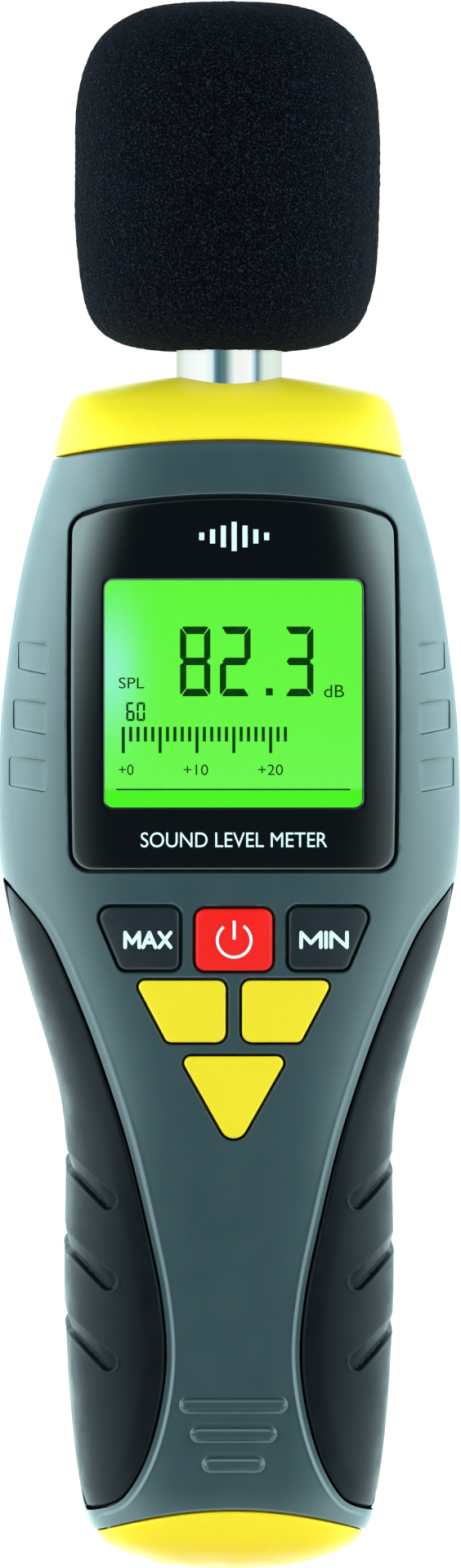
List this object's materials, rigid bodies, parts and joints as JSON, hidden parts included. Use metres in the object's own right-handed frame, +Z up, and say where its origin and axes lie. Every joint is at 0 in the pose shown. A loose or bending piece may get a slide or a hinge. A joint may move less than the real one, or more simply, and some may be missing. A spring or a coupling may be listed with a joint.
{
  "type": "sound level meter",
  "caption": "Handheld sound level meter with a lit display, sprung keys, soft side grips, a bright microphone tube and a removable foam windscreen.",
  "frame": {"origin": "middle of the bounding box's bottom face, which is the microphone axis at the rounded lower end", "axes": "+Z up the long axis through the microphone, -Y out of the display and keys, +X to the right seen from the front"},
  "size_m": [0.0556, 0.0368, 0.1889],
  "materials": {
    "housing": "fine matt moulded grey",
    "soft_grip": "soft satin over-moulded rubber",
    "end_cap": "satin yellow moulding",
    "bezel": "polished black",
    "window": "clear lens",
    "lcd": "lit green liquid crystal panel",
    "light_plate": "white diffusing plate",
    "key_dark": "matt dark grey",
    "key_red": "matt red",
    "key_yellow": "matt yellow",
    "bright_metal": "polished",
    "zinc": "zinc plated",
    "brass": "turned",
    "foam": "open-cell black foam",
    "rubber_black": "moulded",
    "silicone": "moulded silicone",
    "circuit_board": "green lacquered laminate",
    "chip": "moulded package",
    "cell_jacket": "plain dark blue sleeve",
    "lead_red": "insulated wire",
    "lead_black": "insulated wire",
    "label": "blank white film",
    "trimmer_blue": "moulded"
  },
  "bodies": {
    "housing": {"amplifier_chip": "chip", "backlight_panel": "light_plate", "battery_9v": "cell_jacket", "battery_lead_1": "lead_red", "battery_lead_2": "lead_black", "battery_snap": "rubber_black", "battery_terminal_negative": "zinc", "battery_terminal_positive": "zinc", "board_screw_1": "zinc", "board_screw_2": "zinc", "board_screw_3": "zinc", "board_screw_4": "zinc", "bottom_cap": "end_cap", "case_screw_1": "zinc", "case_screw_2": "zinc", "case_screw_3": "zinc", "case_screw_4": "zinc", "controller_chip": "chip", "crystal_can": "bright_metal", "display_bezel": "bezel", "display_window": "window", "front_cover": "housing", "keypad_membrane": "silicone", "lcd_frame": "rubber_black", "lcd_panel": "lcd", "left_grip": "soft_grip", "main_board": "circuit_board", "microphone_bush": "rubber_black", "microphone_cable": "lead_black", "microphone_capsule": "zinc", "microphone_grid": "bright_metal", "microphone_tube": "bright_metal", "rear_cover": "housing", "rear_label": "label", "right_grip": "soft_grip", "top_cap": "end_cap", "trimmer_body": "trimmer_blue", "trimmer_rotor": "brass", "tripod_insert": "brass", "tube_nut": "brass", "zebra_strip": "silicone"},
    "key_max": {"key_max": "key_dark"},
    "key_power": {"key_power": "key_red"},
    "key_min": {"key_min": "key_dark"},
    "key_left": {"key_left": "key_yellow"},
    "key_right": {"key_right": "key_yellow"},
    "key_lower": {"key_lower": "key_yellow"},
    "windscreen": {"windscreen": "foam"},
    "battery_door": {"battery_door": "housing", "battery_pad": "foam"}
  },
  "joints": [
    {"name": "key_max_press", "type": "slide", "parent": "housing", "child": "key_max", "axis": [0, 1, 0], "range_m": [0, 0.0008], "stiffness_N_per_m": 400},
    {"name": "key_power_press", "type": "slide", "parent": "housing", "child": "key_power", "axis": [0, 1, 0], "range_m": [0, 0.0008], "stiffness_N_per_m": 400},
    {"name": "key_min_press", "type": "slide", "parent": "housing", "child": "key_min", "axis": [0, 1, 0], "range_m": [0, 0.0008], "stiffness_N_per_m": 400},
    {"name": "key_left_press", "type": "slide", "parent": "housing", "child": "key_left", "axis": [0, 1, 0], "range_m": [0, 0.0008], "stiffness_N_per_m": 400},
    {"name": "key_right_press", "type": "slide", "parent": "housing", "child": "key_right", "axis": [0, 1, 0], "range_m": [0, 0.0008], "stiffness_N_per_m": 400},
    {"name": "key_lower_press", "type": "slide", "parent": "housing", "child": "key_lower", "axis": [0, 1, 0], "range_m": [0, 0.0008], "stiffness_N_per_m": 400},
    {"name": "windscreen_lift", "type": "slide", "parent": "housing", "child": "windscreen", "axis": [0, 0, 1], "range_m": [0, 0.06]},
    {"name": "battery_door_lift", "type": "slide", "parent": "housing", "child": "battery_door", "axis": [0, 1, 0], "range_m": [0, 0.03]}
  ]
}
